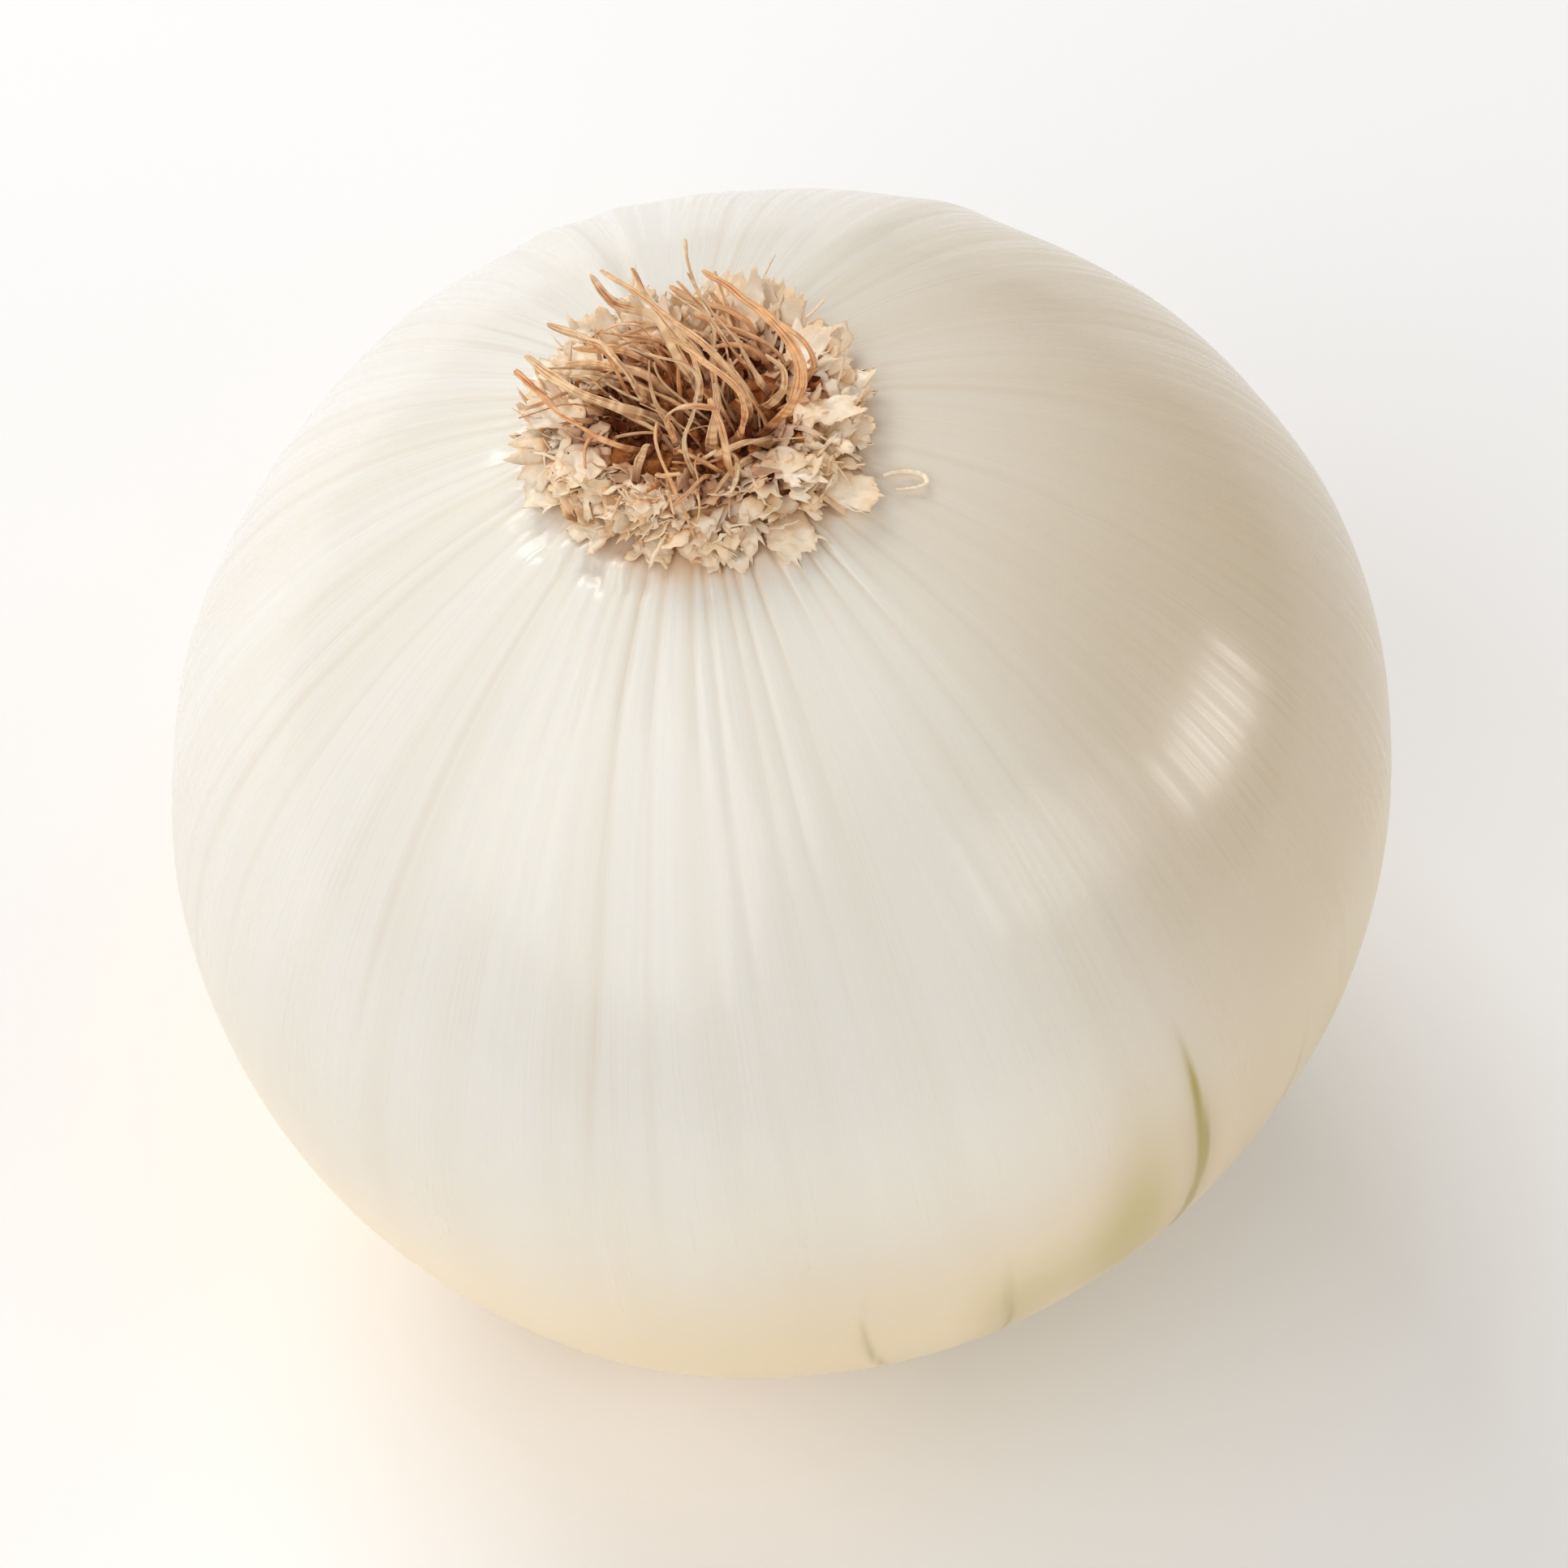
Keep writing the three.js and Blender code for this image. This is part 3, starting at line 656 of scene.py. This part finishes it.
# ---- Fine roots ----
# Thinner roots that fill the tuft, each swept towards the side it grows on.
random.seed(77)
bm = root_mesh()
foot, tone = bm.verts.layers.float["foot"], bm.verts.layers.float["tone"]
for number in range(80):
    turn = random.uniform(0, 2 * math.pi)
    away = 7.2 * math.sqrt(random.random())
    spot = Vector((away * math.cos(turn), away * math.sin(turn), plate_top(away) - 0.3))
    sideways = math.cos(turn) * away / 7.2
    heading = math.radians(random.gauss(140 - 50 * sideways, 32))
    if spot.y < -3:
        heading = math.radians(random.gauss(-100, 35))
    lean = Vector((math.cos(heading), math.sin(heading), 0))
    direction = Vector((0, 0, 1)) + 0.35 * lean
    length = random.uniform(2.5, 8.5)
    curl = random.uniform(-0.12, 0.12)
    droop = random.uniform(0.02, 0.16)
    line = [spot]
    while len(line) * 0.35 < length:
        direction = (direction.normalized() + droop * (0.6 * lean - Vector((0, 0, 0.25)))
                     + curl * direction.cross(Vector((0, 0, 1))) + 0.12 * noise.noise_vector(line[-1] * 0.4))
        line.append(line[-1] + 0.35 * direction.normalized())
    thick = random.uniform(0.13, 0.26)
    sway = random.uniform(0, 50)
    steps = len(line) - 1

    def thread_section(i, angle):
        size = thick * (1.1 - 0.5 * i / steps) * (1 + 0.3 * noise.noise(Vector((i * 0.3, sway, 0))))
        turned = sway + 0.08 * i
        x, y = math.cos(angle), 0.5 * math.sin(angle)
        return (size * (x * math.cos(turned) - y * math.sin(turned)),
                size * (x * math.sin(turned) + y * math.cos(turned)))

    rings = swept(bm, line, 8, thread_section)
    pale = random.random()
    for i, ring in enumerate(rings):
        for v in ring:
            v[foot] = max(0, 1 - i * 0.35 / 3)
            v[tone] = pale
bmesh.ops.recalc_face_normals(bm, faces=bm.faces)
bm.transform(ON_PLATE)
fine_roots = solid("fine_roots", bm, root_finish)
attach(fine_roots, "root")

# ---- Torn skin ----
# What is left of the dry coat where it was torn off: thin, crumpled, see-through flakes in two rows
# round the plate, each in its solid's place.
SKIN_THICKNESS = 0.06

torn_skin, tree, shader = finish_named("torn_skin", Specular_IOR_Level=0.5)
coordinates = node(tree, "ShaderNodeTexCoord").outputs["Object"]
cells = speckle(tree, coordinates, 420, 4, 0.6)
veiny = speckle(tree, coordinates, 1500, 3, 0.6)
colour = blend(tree, between(tree, cells, 0.35, 0.7), shade(255, 244, 224), shade(255, 230, 194))
# Tan by the tone number: a random tan for each flake, plus painted warm shade at the inner ends and among the low
# crumbs.
colour = blend(tree, between(tree, attribute(tree, "tone")[0], 0.2, 1, 0, 0.8), colour, shade(252, 194, 128))
colour = blend(tree, between(tree, veiny, 0.56, 0.78, 0, 0.32), colour, shade(240, 180, 118))
colour = blend(tree, between(tree, attribute(tree, "edge")[0], 0.75, 1, 0, 0.3), colour, shade(240, 190, 130))
colour = blend(tree, attribute(tree, "brown")[0], colour, shade(190, 122, 72))
tree.links.new(colour, shader.inputs["Base Color"])
tree.links.new(between(tree, veiny, 0.3, 0.7, 0.35, 0.6), shader.inputs["Roughness"])
rough_surface(tree, shader, veiny, 0.5, 0.15)


def torn_flake(bm, size, bend, seat, cells, seed, tan_and_shade, browned=0.0):
    """Adds one crumpled flake. size is its length and width, bend its slope at the seat and how it
    curves, and seat puts its inner edge in its place."""
    length, width = size
    slope, curve = bend
    edge, tone, brown = (bm.verts.layers.float[name] for name in ("edge", "tone", "brown"))
    sheet = bmesh.ops.create_grid(bm, x_segments=cells[0], y_segments=cells[1], size=0.5)["verts"]
    for v in sheet:
        blunt = 0.4 + 0.9 * (seed * 0.618 % 1)
        round_off = Vector((v.co.x * math.sqrt(1 - blunt * v.co.y**2), v.co.y * math.sqrt(1 - blunt * v.co.x**2)))
        along, side = round_off.x + 0.5, round_off.y * 2
        salt = Vector((seed * 3.7, 0, 0))
        jag = noise.noise(Vector((side * 1.6, 0, 0)) + salt)
        jag += 0.5 * min(1, width / 3) * noise.noise(Vector((side * 9, 5, 0)) + salt)
        neck = 0.82 + 0.2 * along + 0.28 * noise.noise(Vector((along * 3, side, 2)) + salt)
        neck += 0.2 * noise.noise(Vector((along * 9, side, 7)) + salt)
        x = length * along * (1 + 0.38 * jag * along)
        y = width / 2 * side * neck
        flat_spot = Vector((x, y, 0))
        crumple = sum(share * noise.noise(flat_spot * fineness + salt)
                      for share, fineness in ((1, 0.9), (0.55, 2.2), (0.3, 5)))
        z = slope * x + curve * x * x + 0.36 * crumple * min(1, 0.3 + along) + 0.12 * width * side * side * math.sin(seed)
        v.co = seat @ Vector((x, y, z))
        v[edge] = max(abs(side), along)
        # The inner end gets extra tan: painted warm shade where the flakes tuck under each other.
        v[tone], v[brown] = tan_and_shade + 0.6 * (1 - along) ** 3, browned


def thickened(bm):
    """Gives every sheet in a mesh its thickness."""
    bm.normal_update()
    made = bmesh.ops.extrude_face_region(bm, geom=bm.faces[:], use_keep_orig=True)["geom"]
    for v in made:
        if isinstance(v, bmesh.types.BMVert):
            v.co += SKIN_THICKNESS * v.normal
    bmesh.ops.recalc_face_normals(bm, faces=bm.faces)
    bm.transform(ON_PLATE)


def flake_mesh():
    bm = bmesh.new()
    for name in ("edge", "tone", "brown"):
        bm.verts.layers.float.new(name)
    bm.loops.layers.uv.new("grain")
    return bm


scrap_names = sorted(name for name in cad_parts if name.startswith("skin_scrap"))
for number, name in enumerate(scrap_names):
    points = [ON_PLATE.inverted() @ v.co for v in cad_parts[name].data.vertices]
    middle = sum(points, Vector()) / len(points)
    turn = math.atan2(middle.y, middle.x)
    flat = [Matrix.Rotation(-turn, 3, "Z") @ p for p in points]
    inner, outer = min(p.x for p in flat), max(p.x for p in flat)
    width = max(p.y for p in flat) - min(p.y for p in flat)
    low = [p.z for p in flat if p.x < inner + 0.4]
    high = [p.z for p in flat if p.x > outer - 0.4]
    start, end = sum(low) / len(low), sum(high) / len(high)
    length = outer - inner
    slope = (end - start) / length
    seat = Matrix.Rotation(turn, 4, "Z") @ Matrix.Translation((inner - 0.5, 0, start))
    bm = flake_mesh()
    torn_flake(bm, (length + 0.7, width * 1.12), (slope * 0.5, slope * 0.5 / length), seat, (20, 16), number, (number * 0.37) % 0.35 - 0.1)
    thickened(bm)
    flake = solid(f"torn_{name}", bm, torn_skin)
    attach(flake, "root")
    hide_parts(name)

# ---- Chaff ----
# Crumbs and shreds of the same skin, caught between the flakes and the roots.
random.seed(21)
bm = flake_mesh()
for i in range(640):
    shred = i % 5 == 0
    turn = random.uniform(0, 2 * math.pi) if i % 3 else random.gauss(-1.6, 0.7)
    away = random.uniform(5.8, 11.0) if i % 4 else random.uniform(8.8, 10.6)
    if -2.7 < turn < -1.75 or 3.58 < turn < 4.53:  # fleshy lumps take its place at the front left
        away = min(away, random.uniform(8.6, 9.6))
    outside = away > PLATE_RADIUS - 0.5
    over = random.uniform(0.1, 2.3) if outside else plate_top(away) + random.uniform(-0.3, 0.6)
    length, width = random.uniform(0.8, 2.7), random.uniform(0.6, 2.2)
    if shred:
        length, width = random.uniform(1.2, 3.2), random.uniform(0.12, 0.3)
    facing = Matrix.Rotation(turn, 4, "Z") @ Matrix.Translation((away, 0, over))
    yaw = Matrix.Rotation(random.uniform(-1.1, 1.1), 4, "Z")
    roll = Matrix.Rotation(random.uniform(-0.7, 0.7), 4, "X")
    pitch = Matrix.Rotation(random.uniform(-0.7, 0.35), 4, "Y")
    inwards = max(0, min(1, (8.3 - away) / 2.3))
    # Lower crumbs are tanner: painted warm shade deep among the flakes, on top of a random tan.
    tan_and_shade = min(1, random.random() * 0.45 + 0.4 * max(0, 1 - over / 1.4))
    torn_flake(bm, (length, width), (0, random.uniform(-0.3, 0.3)), facing @ yaw @ pitch @ roll,
               (6, 2) if shred else (5, 5), 50 + i, tan_and_shade, random.uniform(0, 1) * inwards)
thickened(bm)
chaff = solid("skin_chaff", bm, torn_skin)
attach(chaff, "root")

# ---- Thread of skin ----
# A fine curl that tore loose beside the plate and lies on the flesh.
CURL = ((13.9, -22.5, 0.5), (14.5, -19.8, 0.45), (15.3, -17.8, 0.35), (16.2, -17.2, 0.3), (16.6, -18.8, 0.3),
        (16.1, -21.2, 0.3), (15.0, -24.6, 0.35))  # radius, degrees round, height over the flesh
line = []
for away, degrees, over in CURL:
    turn = math.radians(degrees)
    line.append(Vector((away * math.cos(turn), away * math.sin(turn), shoulder_height(away) + over)))
line = smooth_line(line, 0.2)
bm = flake_mesh()


def curl_section(i, angle):
    size = 0.19 * (0.45 + 0.55 * math.sin(math.pi * (0.1 + 0.8 * i / len(line))))
    return size * math.cos(angle), 0.6 * size * math.sin(angle)


swept(bm, line, 8, curl_section)
bmesh.ops.recalc_face_normals(bm, faces=bm.faces)
bm.transform(IN_PLACE)
curl = solid("skin_curl", bm, torn_skin)
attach(curl, "root")
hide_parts("skin_thread")
